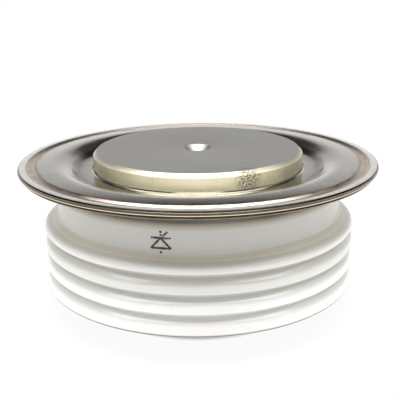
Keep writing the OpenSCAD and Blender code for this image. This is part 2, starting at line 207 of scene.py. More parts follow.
anode_pole = turned("anode_pole_turned", rounded([
    (0, hole_bevel + hole_wall_h + drill_point, 0),
    (hole_r, hole_bevel + hole_wall_h, 0),
    (hole_r, hole_bevel, 0),
    (hole_r + hole_bevel, 0, 0),
    (contact_r - contact_bevel, 0, worn_edge),
    (contact_r, contact_bevel, worn_edge),
    (contact_r, anode_pole_h - inner_bevel, 0),
    (contact_r - inner_bevel, anode_pole_h, 0),
    (0, anode_pole_h, 0),
]), turned_nickel("matte nickel on anode copper", ("#c3c1ba", "#bab8b1"), ("#c9c3ae", "#bab49b")))
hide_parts("anode_pole")
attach(anode_pole, "root")


# Anode flange: a copper sheet ring under the ceramic, plated with satin nickel.
# It is brazed to the ceramic's foot, and its collar is brazed round the anode pole.
flange_t = 0.7
collar_h = 1.5
collar_bend = 0.3
ceramic_foot = 4.5
anode_flange_r = 23.8
sheet_edge_round = 0.1


def toned(tree, factor, stops):
    """Colours in bands along a factor, each stop a share of the way and a hex colour."""
    bands = add(tree, "ShaderNodeValToRGB", {"Fac": factor})
    elements = bands.color_ramp.elements
    while len(elements) < len(stops):
        elements.new(0.5)
    for element, (share, hexa) in zip(elements, stops):
        element.position = share
        element.color = colour(hexa)
    return bands.outputs["Color"]


def by_height(tree, place, stops):
    """Colours in level bands, each stop a height in millimetres and a hex colour."""
    low, high = stops[0][0], stops[-1][0]
    height = add(tree, "ShaderNodeSeparateXYZ", {0: place}).outputs["Z"]
    share = add(tree, "ShaderNodeMapRange", {
        "Value": height, "From Min": low * mm, "From Max": high * mm}).outputs["Result"]
    return toned(tree, share, [((z - low) / (high - low), hexa) for z, hexa in stops])


def satin_nickel(name, light, dark, warm, bands=None):
    """Satin nickel plate on sheet: a soft sheen with fine grain, and warm stains where the heat of the
    braze coloured it. bands are tones laid over it by height."""
    material, tree, place = new_finish(name)
    grain = add(tree, "ShaderNodeTexNoise", {
        "Vector": place, "Scale": coarseness(0.18), "Detail": 3.0}).outputs["Fac"]
    stains = add(tree, "ShaderNodeTexNoise", {
        "Vector": place, "Scale": coarseness(4), "Detail": 5.0, "Roughness": 0.62}).outputs["Fac"]
    plate = add(tree, "ShaderNodeMix", {
        "Factor": grain, 6: colour(light), 7: colour(dark)}, data_type="RGBA").outputs[2]
    heat = add(tree, "ShaderNodeMapRange", {
        "Value": stains, "From Min": 0.45, "From Max": 0.75}).outputs["Result"]
    plate = add(tree, "ShaderNodeMix", {
        "Factor": heat, 6: plate, 7: colour(warm)}, data_type="RGBA").outputs[2]
    if bands:
        plate = add(tree, "ShaderNodeMix", {
            "Factor": 1.0, 6: plate, 7: by_height(tree, place, bands)},
            data_type="RGBA", blend_type="MULTIPLY").outputs[2]
    rough = add(tree, "ShaderNodeMapRange", {
        "Value": stains, "From Min": 0.3, "From Max": 0.7, "To Min": 0.26, "To Max": 0.40,
    }).outputs["Result"]
    bump = add(tree, "ShaderNodeBump", {
        "Height": grain, "Strength": 0.12, "Distance": 0.02 * mm}).outputs[0]
    shader = add(tree, "ShaderNodeBsdfPrincipled", {
        "Base Color": plate, "Metallic": 1.0, "Roughness": rough, "Normal": bump})
    add(tree, "ShaderNodeOutputMaterial", {"Surface": shader.outputs[0]})
    return material


anode_flange = turned("anode_flange_sheet", rounded([
    (contact_r, ceramic_foot - flange_t, 0),
    (anode_flange_r, ceramic_foot - flange_t, sheet_edge_round),
    (anode_flange_r, ceramic_foot, sheet_edge_round),
    (contact_r + flange_t, ceramic_foot, collar_bend),
    (contact_r + flange_t, ceramic_foot + collar_h, 0),
    (contact_r, ceramic_foot + collar_h, 0),
]), satin_nickel("satin nickel on anode sheet", "#b8b4ab", "#aaa69c", "#a39480"))
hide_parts("anode_flange")
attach(anode_flange, "root")


# Silicon stack and gate contact: a polished wafer between lapped molybdenum discs, its bevelled edge under
# a bead of silicone, centred by a plastic ring. A sprung pin presses on the wafer's middle, and a sleeved
# wire leads from it to the tube. All of it is closed in, so it keeps its plain shapes.
def inner_finish(name, light, dark, grain_mm, metallic, rough, depth_mm=0.01):
    """A plain inner material: two close tones in grains of one size, with the grain felt in the gloss."""
    material, tree, place = new_finish(name)
    grain = add(tree, "ShaderNodeTexNoise", {
        "Vector": place, "Scale": coarseness(grain_mm), "Detail": 4.0}).outputs["Fac"]
    tone = add(tree, "ShaderNodeMix", {
        "Factor": grain, 6: colour(light), 7: colour(dark)}, data_type="RGBA").outputs[2]
    gloss = add(tree, "ShaderNodeMapRange", {
        "Value": grain, "From Min": 0.3, "From Max": 0.7, "To Min": rough - 0.06, "To Max": rough + 0.06,
    }).outputs["Result"]
    bump = add(tree, "ShaderNodeBump", {
        "Height": grain, "Strength": 0.2, "Distance": depth_mm * mm}).outputs[0]
    shader = add(tree, "ShaderNodeBsdfPrincipled", {
        "Base Color": tone, "Metallic": metallic, "Roughness": gloss, "Normal": bump})
    add(tree, "ShaderNodeOutputMaterial", {"Surface": shader.outputs[0]})
    return material


# Even dull grey from the lapping plate
lapped_molybdenum = inner_finish("lapped molybdenum", "#8f9194", "#84868a", 0.2, 1.0, 0.42)
# A dark blue-grey mirror
polished_silicon = inner_finish("polished silicon", "#565e6b", "#4b5260", 3.0, 1.0, 0.14)
# Cream, with the uneven skin of a bead laid by hand
soft_silicone = inner_finish("soft silicone", "#dcd6c9", "#d2cbbb", 0.8, 0.0, 0.45, 0.03)
# Waxy white
fluoroplastic = inner_finish("white fluoropolymer", "#f3f1ec", "#eae7e0", 0.5, 0.0, 0.5)
# Warm and bright, a little tarnished
silver_plate = inner_finish("silver plate", "#d5cdb4", "#c6bd9f", 0.3, 1.0, 0.25)
# Smooth grey, with the fine marks of the drawing die
spring_wire = inner_finish("drawn spring wire", "#a2a4a6", "#909294", 0.15, 1.0, 0.3)
# Pale tan, in glossy flakes
mica = inner_finish("mica sheet", "#d3ccb8", "#c2b99f", 0.6, 0.0, 0.35)
closed_in = {
    "anode_molybdenum_disc": lapped_molybdenum,
    "silicon_wafer": polished_silicon,
    "edge_seal": soft_silicone,
    "cathode_molybdenum_disc": lapped_molybdenum,
    "centring_ring": fluoroplastic,
    "gate_pin": silver_plate,
    "gate_spring": spring_wire,
    "gate_guide": fluoroplastic,
    "gate_insulator": mica,
    "gate_lead": silver_plate,
    "gate_lead_sleeve": fluoroplastic,
}
for node_name, material in closed_in.items():
    for material_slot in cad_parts[node_name].material_slots:
        material_slot.material = material


# Ceramic ring: pressed and fired alumina with a clear white glaze, the insulating wall of the case.
# A plain neck stands over four ribs, which lengthen the creepage path, and both ends are brazed.
bore_r = 20.2
neck_r = 23.0
crest_r = 25.3
rib_depth = 1.1
rib_slope = 50
ring_seat_z = 21.3
shoulder_z = 15.8
shoulder_rise = 0.7
rib_count = 4
rib_pitch = 3.0
foot_nose_z = 4.9
nose_h = 1.4
ramp_h = rib_depth / math.tan(math.radians(rib_slope))
ring_inputs = {
    "Ribs": rib_count,
    "Bore": bore_r * mm,
    "Neck": neck_r * mm,
    "Crest": crest_r * mm,
    "Root": (crest_r - rib_depth) * mm,
    "Seat height": ring_seat_z * mm,
    "Shoulder height": shoulder_z * mm,
    "Crown height": (shoulder_z - shoulder_rise) * mm,
    "Top nose height": (foot_nose_z + (rib_count - 1) * rib_pitch) * mm,
    "Foot height": ceramic_foot * mm,
    "Pitch": rib_pitch * mm,
    "Nose": nose_h * mm,
    "Ramp": ramp_h * mm,
    "Neck rounding": 0.3 * mm,
    "Shoulder rounding": 0.6 * mm,
    "Nose rounding": 0.9 * mm,
    "Edge rounding": 0.35 * mm,
    "Groove rounding": 0.3 * mm,
    "Path": 22 * mm,
}


def growing_tree(name, sizes, finish):
    """A Geometry Nodes tree with a named input for each size and for its finish, and those inputs."""
    tree = bpy.data.node_groups.new(name, "GeometryNodeTree")
    tree.interface.new_socket("Geometry", in_out="OUTPUT", socket_type="NodeSocketGeometry")
    tree.interface.new_socket("Geometry", in_out="INPUT", socket_type="NodeSocketGeometry")
    for socket, value in sizes.items():
        kind = "NodeSocketInt" if isinstance(value, int) else "NodeSocketFloat"
        tree.interface.new_socket(socket, in_out="INPUT", socket_type=kind)
    tree.interface.new_socket(finish, in_out="INPUT", socket_type="NodeSocketMaterial")
    return tree, add(tree, "NodeGroupInput").outputs


ribbed_ring, size = growing_tree("ribbed ring", ring_inputs, "Glaze")
index = add(ribbed_ring, "GeometryNodeInputIndex").outputs[0]
# Two corners at the seat, then four for each rib from the top one down
last = add(ribbed_ring, "ShaderNodeMath", {
    0: size["Ribs"], 1: 4.0, 2: 1.0}, operation="MULTIPLY_ADD").outputs[0]
count = add(ribbed_ring, "ShaderNodeMath", {0: last, 1: 1.0}, operation="ADD").outputs[0]
before_last = add(ribbed_ring, "ShaderNodeMath", {0: last, 1: 1.0}, operation="SUBTRACT").outputs[0]
step = add(ribbed_ring, "ShaderNodeMath", {0: index, 1: 2.0}, operation="SUBTRACT").outputs[0]
quarter = add(ribbed_ring, "ShaderNodeMath", {0: step, 1: 4.0}, operation="DIVIDE").outputs[0]
rib = add(ribbed_ring, "ShaderNodeMath", {0: quarter}, operation="FLOOR").outputs[0]
corner = add(ribbed_ring, "ShaderNodeMath", {0: rib, 1: -4.0, 2: step}, operation="MULTIPLY_ADD").outputs[0]
above_nose = add(ribbed_ring, "ShaderNodeMath", {0: corner, 1: 0.5}, operation="LESS_THAN").outputs[0]
above_edge = add(ribbed_ring, "ShaderNodeMath", {0: corner, 1: 1.5}, operation="LESS_THAN").outputs[0]
off_middle = add(ribbed_ring, "ShaderNodeMath", {0: corner, 1: 1.5}, operation="SUBTRACT").outputs[0]
off_middle = add(ribbed_ring, "ShaderNodeMath", {0: off_middle}, operation="ABSOLUTE").outputs[0]
on_crest = add(ribbed_ring, "ShaderNodeMath", {0: off_middle, 1: 1.0}, operation="LESS_THAN").outputs[0]
rib_r = add(ribbed_ring, "ShaderNodeMix", {0: on_crest, 2: size["Root"], 3: size["Crest"]}).outputs[0]
drop = add(ribbed_ring, "ShaderNodeMath", {0: rib, 1: size["Pitch"]}, operation="MULTIPLY").outputs[0]
height = add(ribbed_ring, "ShaderNodeMath", {
    0: size["Top nose height"], 1: drop}, operation="SUBTRACT").outputs[0]
height = add(ribbed_ring, "ShaderNodeMath", {
    0: above_edge, 1: size["Nose"], 2: height}, operation="MULTIPLY_ADD").outputs[0]
height = add(ribbed_ring, "ShaderNodeMath", {
    0: above_nose, 1: size["Ramp"], 2: height}, operation="MULTIPLY_ADD").outputs[0]
nose_bend = add(ribbed_ring, "ShaderNodeMix", {
    0: above_edge, 2: size["Edge rounding"], 3: size["Nose rounding"]}).outputs[0]
bend = add(ribbed_ring, "ShaderNodeMix", {0: on_crest, 2: size["Groove rounding"], 3: nose_bend}).outputs[0]
profile = add(ribbed_ring, "GeometryNodeMeshLine", {"Count": count}).outputs[0]
corners = [
    (None, rib_r, height, bend),
    (0.0, size["Bore"], size["Seat height"], 0.0),
    (1.0, size["Neck"], size["Seat height"], size["Neck rounding"]),
    (2.0, size["Neck"], size["Shoulder height"], size["Shoulder rounding"]),
    (3.0, size["Crest"], size["Crown height"], size["Nose rounding"]),
    (before_last, size["Crest"], size["Foot height"], size["Edge rounding"]),
    (last, size["Bore"], size["Foot height"], 0.0),
]
for which, out, up, rounding in corners:
    here = True
    if which is not None:
        here = add(ribbed_ring, "FunctionNodeCompare", {0: index, 1: which}, operation="EQUAL").outputs[0]
    # The section lies beside the path it is swept along, upside down in the sweep's own axes
    aside = add(ribbed_ring, "ShaderNodeMath", {0: out, 1: size["Path"]}, operation="SUBTRACT").outputs[0]
    under = add(ribbed_ring, "ShaderNodeMath", {0: up, 1: -1.0}, operation="MULTIPLY").outputs[0]
    spot = add(ribbed_ring, "ShaderNodeCombineXYZ", {"X": aside, "Y": under}).outputs[0]
    profile = add(ribbed_ring, "GeometryNodeSetPosition", {
        "Geometry": profile, "Selection": here, "Position": spot}).outputs[0]
    profile = add(ribbed_ring, "GeometryNodeStoreNamedAttribute", {
        "Geometry": profile, "Selection": here, "Name": "rounding", "Value": rounding},
        data_type="FLOAT", domain="POINT").outputs[0]
section = add(ribbed_ring, "GeometryNodeMeshToCurve", {"Mesh": profile}).outputs[0]
section = add(ribbed_ring, "GeometryNodeSetSplineCyclic", {"Geometry": section, "Cyclic": True}).outputs[0]
rounding = add(ribbed_ring, "GeometryNodeInputNamedAttribute", {
    "Name": "rounding"}, data_type="FLOAT").outputs[0]
section = add(ribbed_ring, "GeometryNodeFilletCurve", {
    "Curve": section, "Radius": rounding, "Limit Radius": True, "Count": 6}, mode="POLY").outputs[0]
path = add(ribbed_ring, "GeometryNodeCurvePrimitiveCircle", {
    "Resolution": 320, "Radius": size["Path"]}).outputs[0]
wall = add(ribbed_ring, "GeometryNodeCurveToMesh", {"Curve": path, "Profile Curve": section}).outputs[0]
wall = add(ribbed_ring, "GeometryNodeRealizeInstances", {"Geometry": wall}).outputs[0]
wall = add(ribbed_ring, "GeometryNodeSetMaterial", {"Geometry": wall, "Material": size["Glaze"]}).outputs[0]
add(ribbed_ring, "NodeGroupOutput", {0: wall})

glaze, tree, place = new_finish("white glaze on alumina")
# A glossy white glaze. Its tone by radius is painted light and shade: whitest on the crests, painted shade
# greying the grooves and the neck under the rim, and a shoulder lighter and warmer than the neck as painted
# light and reflection of the brown rim. By height, painted shade draws a grey line along the foot and greys
# the upper ribs a little, and a painted shadow and reflection of the rim lay a dark brown band at the top.
# A few grey flecks, and the slow waves of molten glass.
outward = add(tree, "ShaderNodeMapRange", {
    "Value": from_axis(tree, place), "From Min": neck_r * mm, "From Max": crest_r * mm}).outputs["Result"]
# Tone by radius: painted shade on the neck and in the grooves, painted light and warm reflection on the
# shoulder
painted_light_and_shade = toned(tree, outward, [
    (0.0, "#cccbc7"),
    (0.08, "#e4dfd3"),
    (0.4, "#ece8de"),
    (0.52, "#d8d7d2"),
    (0.85, "#dddcd8"),
    (1.0, "#f4f3f1"),
])
# Tone by height, painted shade: a grey line along the foot, slightly greyer upper ribs, and a dark brown
# band at the top as painted shadow and reflection of the rim
painted_shade_by_height = by_height(tree, place, [
    (ceramic_foot, "#7f7f7b"),
    (ceramic_foot + 0.27, "#7f7f7b"),
    (ceramic_foot + 0.42, "#ffffff"),
    (shoulder_z - 6.5, "#ffffff"),
    (shoulder_z - 4.9, "#ebebe9"),
    (shoulder_z - 1.9, "#ebebe8"),
    (shoulder_z - 0.6, "#f4f4f1"),
    (ring_seat_z - 1.8, "#fcfcfb"),
    (ring_seat_z - 1.25, "#dbd6cc"),
    (ring_seat_z - 0.95, "#bdb5a7"),
    (ring_seat_z - 0.7, "#8d836f"),
    (ring_seat_z - 0.55, "#5f5443"),
    (ring_seat_z - 0.35, "#453b2d"),
    (ring_seat_z - 0.2, "#5a4e3b"),
])
painted_light_and_shade = add(tree, "ShaderNodeMix", {
    "Factor": 1.0, 6: painted_light_and_shade, 7: painted_shade_by_height}, data_type="RGBA", blend_type="MULTIPLY").outputs[2]
waves = add(tree, "ShaderNodeTexNoise", {
    "Vector": place, "Scale": coarseness(3.5), "Detail": 1.0}).outputs["Fac"]
cloud = add(tree, "ShaderNodeTexNoise", {
    "Vector": place, "Scale": coarseness(7), "Detail": 3.0}).outputs["Fac"]
flecks = add(tree, "ShaderNodeTexNoise", {
    "Vector": place, "Scale": coarseness(0.6), "Detail": 2.0, "Roughness": 0.6}).outputs["Fac"]
clouded = add(tree, "ShaderNodeMapRange", {
    "Value": cloud, "From Min": 0.3, "From Max": 0.7, "To Max": 0.12}).outputs["Result"]
white = add(tree, "ShaderNodeMix", {
    "Factor": clouded, 6: painted_light_and_shade, 7: colour("#d8d6ce")}, data_type="RGBA").outputs[2]
fleck = add(tree, "ShaderNodeMapRange", {
    "Value": flecks, "From Min": 0.74, "From Max": 0.78, "To Max": 0.5}).outputs["Result"]
white = add(tree, "ShaderNodeMix", {
    "Factor": fleck, 6: white, 7: colour("#b9b4a6")}, data_type="RGBA").outputs[2]
rough = add(tree, "ShaderNodeMapRange", {
    "Value": cloud, "From Min": 0.3, "From Max": 0.7, "To Min": 0.14, "To Max": 0.24}).outputs["Result"]
bump = add(tree, "ShaderNodeBump", {"Height": waves, "Strength": 0.25, "Distance": 0.06 * mm}).outputs[0]
shader = add(tree, "ShaderNodeBsdfPrincipled", {
    "Base Color": white, "Roughness": rough, "IOR": 1.52, "Normal": bump})
add(tree, "ShaderNodeOutputMaterial", {"Surface": shader.outputs[0]})


def grown(name, base, tree, inputs, sharp=24):
    """A base mesh put through a node tree with its inputs set, as one plain mesh piece."""
    grower = bpy.data.objects.new(name, base)
    scene.collection.objects.link(grower)
    modifier = grower.modifiers.new(tree.name, "NODES")
    modifier.node_group = tree
    for item in tree.interface.items_tree:
        if item.in_out == "INPUT" and item.name in inputs:
            modifier[item.identifier] = inputs[item.name]
    shaped = grower.evaluated_get(bpy.context.evaluated_depsgraph_get())
    mesh = bpy.data.meshes.new_from_object(shaped)
    mesh.name = name
    grower.modifiers.remove(modifier)
    grower.data = mesh
    bpy.data.meshes.remove(base)
    form = bmesh.new()
    form.from_mesh(mesh)
    bmesh.ops.recalc_face_normals(form, faces=form.faces)
    form.to_mesh(mesh)
    form.free()
    mesh.shade_smooth()
    mesh.set_sharp_from_angle(angle=math.radians(sharp))
    return grower


ceramic = grown(
    "ceramic_ring_glazed", bpy.data.meshes.new("ceramic base"), ribbed_ring, ring_inputs | {"Glaze": glaze})
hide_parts("ceramic_ring")
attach(ceramic, "root")


# Printed mark: the circuit symbol for a thyristor on the neck, in the dots of an ink-jet printer.
# Its strokes are drawn flat, set out in dots, and bent round the ceramic.
mark_angle = math.radians(-13.3)
mark_z = 16.35
ink_lift = 0.012
strokes = [
    [(0.0, 3.0), (0.0, 2.1)],
    [(0.35, 2.45), (0.9, 2.95)],
    [(-1.3, 2.1), (1.3, 2.1)],
    [(0.0, 2.1), (-1.4, 0.6), (1.4, 0.6), (0.0, 2.1)],
    [(0.0, 0.6), (0.0, 0.0)],
]
mark_points = []
mark_lines = []
for stroke in strokes:
    mark_lines += [(len(mark_points) + k, len(mark_points) + k + 1) for k in range(len(stroke) - 1)]
    mark_points += [(x * mm, 0, (mark_z + z) * mm) for x, z in stroke]
drawn = bpy.data.meshes.new("mark strokes")
drawn.from_pydata(mark_points, mark_lines, [])

dot_inputs = {
    "Spacing": 0.32 * mm,
    "Dot": 0.2 * mm,
    "Wall": (neck_r + ink_lift) * mm,
    "Turn": mark_angle,
}
dotted, size = growing_tree("dotted print", dot_inputs, "Ink")
lines = add(dotted, "GeometryNodeMeshToCurve", {"Mesh": size["Geometry"]}).outputs[0]
dots = add(dotted, "GeometryNodeCurveToPoints", {
    "Curve": lines, "Length": size["Spacing"]}, mode="LENGTH").outputs[0]
dot = add(dotted, "GeometryNodeMeshCircle", {
    "Vertices": 10, "Radius": size["Dot"]}, fill_type="TRIANGLE_FAN").outputs[0]
upright = add(dotted, "FunctionNodeEulerToRotation", {0: (math.pi / 2, 0, 0)}).outputs[0]
smear = add(dotted, "FunctionNodeRandomValue", {2: 0.75, 3: 1.15, "Seed": 4}, data_type="FLOAT").outputs[1]
print_dots = add(dotted, "GeometryNodeInstanceOnPoints", {
    "Points": dots, "Instance": dot, "Rotation": upright, "Scale": smear}).outputs[0]
print_dots = add(dotted, "GeometryNodeRealizeInstances", {"Geometry": print_dots}).outputs[0]
where = add(dotted, "GeometryNodeInputPosition").outputs[0]
flat = add(dotted, "ShaderNodeSeparateXYZ", {0: where}).outputs
bend = add(dotted, "ShaderNodeMath", {0: flat["X"], 1: size["Wall"]}, operation="DIVIDE").outputs[0]
bend = add(dotted, "ShaderNodeMath", {0: bend, 1: size["Turn"]}, operation="ADD").outputs[0]
across = add(dotted, "ShaderNodeMath", {0: bend}, operation="SINE").outputs[0]
across = add(dotted, "ShaderNodeMath", {0: across, 1: size["Wall"]}, operation="MULTIPLY").outputs[0]
toward = add(dotted, "ShaderNodeMath", {0: bend}, operation="COSINE").outputs[0]
toward = add(dotted, "ShaderNodeMath", {0: toward, 1: size["Wall"]}, operation="MULTIPLY").outputs[0]
toward = add(dotted, "ShaderNodeMath", {0: toward, 1: -1.0}, operation="MULTIPLY").outputs[0]
bent = add(dotted, "ShaderNodeCombineXYZ", {"X": across, "Y": toward, "Z": flat["Z"]}).outputs[0]
print_dots = add(dotted, "GeometryNodeSetPosition", {"Geometry": print_dots, "Position": bent}).outputs[0]
print_dots = add(dotted, "GeometryNodeSetMaterial", {
    "Geometry": print_dots, "Material": size["Ink"]}).outputs[0]
add(dotted, "NodeGroupOutput", {0: print_dots})
# Dull black, worn a little grey
black_ink = inner_finish("black printing ink", "#2c2a28", "#3b3936", 0.2, 0.0, 0.5)
mark = grown("thyristor_mark_printed", drawn, dotted, dot_inputs | {"Ink": black_ink})
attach(mark, "root")


# Gate tube: a short nickel tube brazed through the neck at the back. The gate lead comes out through it,
# and its outer end is closed round the lead.
tube_r = 1.5
tube_bore_r = 0.9
tube_bevel = 0.3
tube_edge_round = 0.08
tube_start = 20.1
tube_l = 28.0 - tube_start
tube_seal_l = 3.0
tube_z = 18.55
lead_r = 0.35
gate_tube = turned("gate_tube_closed", rounded([
    (tube_bore_r, 0, 0),
    (tube_r, 0, 0),
    (tube_r, tube_l - tube_bevel, tube_edge_round),
    (tube_r - tube_bevel, tube_l, tube_edge_round),
    (lead_r, tube_l, 0),
    (lead_r, tube_l - tube_seal_l, 0),
    (tube_bore_r, tube_l - tube_seal_l, 0),
]), satin_nickel("satin nickel on gate tube", "#bbb7ae", "#aca89d", "#a89a85"), around=96)
gate_tube.data.transform(
    Matrix.Translation((0, tube_start * mm, tube_z * mm)) @ Matrix.Rotation(math.radians(-90), 4, "X"))
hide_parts("gate_tube")
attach(gate_tube, "root")


# Weld ring: the lower sheet of the rim, stepped from its seat on the ceramic up to the cold weld.
# It is nickel-plated copper, with a dark band along the seam painted as shadow under the lip, and tan below
# it, made lighter as painted light from the table.
flange_r = 28.95
ring_t = 0.6
ring_inset = 0.4
ring_seat_edge = 0.4
ring_bend = 0.8
seam_z = 23.6
trench_r = 26.2
ring_edge_r = flange_r - ring_inset


def bent_sheet(corners, thickness, steps=6):
    """Both sides of a bent sheet whose middle follows corners (radius, height, bend), in millimetres."""
    sides = []
    for shift in (-thickness / 2, thickness / 2):
        side = []
        for i, (x, z, bend) in enumerate(corners):
            at = Vector((x, z))
            before = Vector(corners[max(i - 1, 0)][:2])
            after = Vector(corners[min(i + 1, len(corners) - 1)][:2])
            inward = ((at - before) if i else (after - at)).normalized()
            outward = ((after - at) if i < len(corners) - 1 else (at - before)).normalized()
            if bend == 0:
                side.append(at + shift * Vector((-inward.y, inward.x)))
                continue
            turn = math.atan2(inward.x * outward.y - inward.y * outward.x, inward.dot(outward))
            hand = math.copysign(1, turn)
            left = Vector((-inward.y, inward.x)) * hand
            centre = at - inward * bend * math.tan(abs(turn) / 2) + left * bend
            first = math.atan2(-left.y, -left.x)
            for k in range(steps + 1):
                angle = first + turn * k / steps
                side.append(centre + (bend - hand * shift) * Vector((math.cos(angle), math.sin(angle))))
        sides.append(side)
    return sides


lower, upper = bent_sheet([
    (bore_r, ring_seat_z + ring_t / 2, 0),
    (neck_r + ring_seat_edge, ring_seat_z + ring_t / 2, ring_bend),
    (trench_r, seam_z - ring_t / 2, ring_bend),
    (ring_edge_r, seam_z - ring_t / 2, 0),
], ring_t)
# The dark bands just under the seam are painted shadow under the upper sheet's lip; the light tan base is
# partly painted light from the table
ring_nickel_with_painted_shade = satin_nickel("satin nickel on weld ring", "#c8bba3", "#a99b83", "#7f705a", bands=[
    (seam_z - ring_t, "#ffffff"),
    (seam_z - 0.48, "#f4f1ec"),
    (seam_z - 0.38, "#8a8276"),
    (seam_z - 0.3, "#5a5348"),
    (seam_z, "#5a5348"),
])
# The trimmed edge is rounded over the sheet's whole thickness
edge_middle = Vector((ring_edge_r - ring_t / 2, seam_z - ring_t / 2))
edge_angles = [math.radians(angle) for angle in range(-90, 91, 15)]
trimmed = [edge_middle + ring_t / 2 * Vector((math.cos(a), math.sin(a))) for a in edge_angles]
weld_ring = turned("weld_ring_stepped", lower[:-1] + trimmed + upper[-2::-1], ring_nickel_with_painted_shade)
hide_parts("weld_ring")
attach(weld_ring, "root")


# Cathode flange: the thin diaphragm between the pole and the rim, pressed from copper sheet and plated
# with bright nickel. Its collar is brazed to the pole, and the trench is where it was cold-welded.
case_h = 26.0
lip_z = 24.3
groove_z = 23.0
ridge_z = 23.75
groove_w = 2.8
rise_w = 1.0
groove_end_r = contact_r + groove_w
ridge_r = groove_end_r + rise_w
roll_share = 0.35
roll_rise = 0.25
roll_bend = 5.0
roll_r = ridge_r + roll_share * (trench_r - ridge_r)
roll_z = lip_z + roll_rise
braze_leg = 0.35
braze_waist_w = 0.10
braze_waist_h = 0.15
trench_w = 1.5
trench_depth = 0.35
trench_foot = trench_w / 4
trench_brink = 0.2
trench_floor_bend = 0.45
lip_round = 0.25
burr_round = 0.05
flange_bend = 0.6
milling = 0.05
edge_r = flange_r - milling

bright_nickel, tree, place = new_finish("bright nickel on pressed copper sheet")
# Bright plate with a soft satin: light grey on the slopes, darker in the groove's corner and on the rise as
# painted shade and reflection, copper showing through where the weld tool stretched it, and brown where the
# edge was trimmed, with dark and light lines on that edge painted as shade and highlight
radius = from_axis(tree, place)
patches = add(tree, "ShaderNodeTexNoise", {
    "Vector": place, "Scale": coarseness(3), "Detail": 4.0, "Roughness": 0.6}).outputs["Fac"]
grain = add(tree, "ShaderNodeTexNoise", {
    "Vector": place, "Scale": coarseness(0.25), "Detail": 3.0}).outputs["Fac"]
# The bands wander a little, as the tool did
wander = 0.12 * mm
sway = add(tree, "ShaderNodeMapRange", {
    "Value": patches, "From Min": 0.3, "From Max": 0.7, "To Min": -wander, "To Max": wander,
}).outputs["Result"]
wavy_radius = add(tree, "ShaderNodeMath", {0: radius, 1: sway}, operation="ADD").outputs[0]
across = add(tree, "ShaderNodeMapRange", {
    "Value": wavy_radius, "From Min": contact_r * mm, "From Max": flange_r * mm}).outputs["Result"]
# The darker stops at the groove's corner and on the rise are painted shade and reflection
bands = toned(tree, across, [((stop_r - contact_r) / (flange_r - contact_r), hexa) for stop_r, hexa in [
    (contact_r, "#dcd8c8"),
    (contact_r + 0.5, "#aeaba4"),
    (groove_end_r - 1.0, "#9b9790"),
    (groove_end_r - 0.4, "#7d7972"),
    (ridge_r - 0.5, "#7d7972"),
    (ridge_r, "#bab7b0"),
    (trench_r - 0.45, "#bab6ae"),
    (trench_r - 0.1, "#a3968a"),
    (trench_r + 0.25, "#e6d4c6"),
    (trench_r + trench_w - 0.3, "#e4d0c1"),
    (trench_r + trench_w - 0.18, "#9c8d80"),
    (trench_r + trench_w + 0.02, "#f4f1ea"),
]])
tarnish = add(tree, "ShaderNodeMapRange", {
    "Value": patches, "From Min": 0.5, "From Max": 0.8, "To Max": 0.35}).outputs["Result"]
outer = add(tree, "ShaderNodeMapRange", {
    "Value": radius, "From Min": (trench_r - 0.6) * mm, "From Max": trench_r * mm, "To Max": tarnish,
}).outputs["Result"]
plate = add(tree, "ShaderNodeMix", {
    "Factor": outer, 6: bands, 7: colour("#7d6a58")}, data_type="RGBA").outputs[2]
# The weld tool left the trench duller than the plate round it
pressed = toned(tree, across, [((stop_r - contact_r) / (flange_r - contact_r), hexa) for stop_r, hexa in [
    (trench_r - 0.3, "#000000"),
    (trench_r + 0.1, "#ffffff"),
    (trench_r + trench_w - 0.1, "#ffffff"),
    (trench_r + trench_w + 0.2, "#000000"),
]])
rough = add(tree, "ShaderNodeMapRange", {
    "Value": patches, "From Min": 0.3, "From Max": 0.7, "To Min": 0.15, "To Max": 0.23}).outputs["Result"]
rough = add(tree, "ShaderNodeMath", {0: pressed, 1: 0.16, 2: rough}, operation="MULTIPLY_ADD").outputs[0]
etched = add(tree, "ShaderNodeMapRange", {
    "Value": grain, "From Min": 0.52, "From Max": 0.72, "To Max": 0.35}).outputs["Result"]
plate = add(tree, "ShaderNodeMix", {
    "Factor": etched, 6: plate, 7: colour("#7f7a70")}, data_type="RGBA").outputs[2]
# The cut edge's brown, with dark lines by height painted as shade under the lip's rounded corner and a
# light line painted as highlight above the seam
cut_edge_and_painted_shade = by_height(tree, place, [
    (seam_z, "#b5a998"),
    (seam_z + 0.04, "#efe4d3"),
    (seam_z + 0.12, "#efe4d3"),
    (seam_z + 0.17, "#463e34"),
    (lip_z - 0.28, "#463e34"),
    (lip_z - 0.24, "#a29686"),
    (lip_z - 0.19, "#a29686"),
    (lip_z - 0.16, "#2a231b"),
    (lip_z - 0.02, "#2a231b"),
    (lip_z, "#f4f1ea"),
])
at_edge = add(tree, "ShaderNodeMapRange", {
    "Value": wavy_radius, "From Min": (flange_r - 0.36) * mm, "From Max": (flange_r - 0.28) * mm,
}).outputs["Result"]
plate = add(tree, "ShaderNodeMix", {
    "Factor": at_edge, 6: plate, 7: cut_edge_and_painted_shade}, data_type="RGBA").outputs[2]
bump = add(tree, "ShaderNodeBump", {"Height": grain, "Strength": 0.2, "Distance": 0.02 * mm}).outputs[0]
shader = add(tree, "ShaderNodeBsdfPrincipled", {
    "Base Color": plate, "Metallic": 1.0, "Roughness": rough, "Normal": bump})
add(tree, "ShaderNodeOutputMaterial", {"Surface": shader.outputs[0]})

lower, upper = bent_sheet([
    (contact_r + flange_t + collar_bend, groove_z - flange_t / 2, 0),
    (groove_end_r, groove_z - flange_t / 2, flange_bend),
    (ridge_r, ridge_z - flange_t / 2, flange_bend),
    (roll_r, roll_z - flange_t / 2, roll_bend),
    (trench_r, lip_z - flange_t / 2, flange_bend),
    (flange_r, lip_z - flange_t / 2, 0),
], flange_t, steps=10)
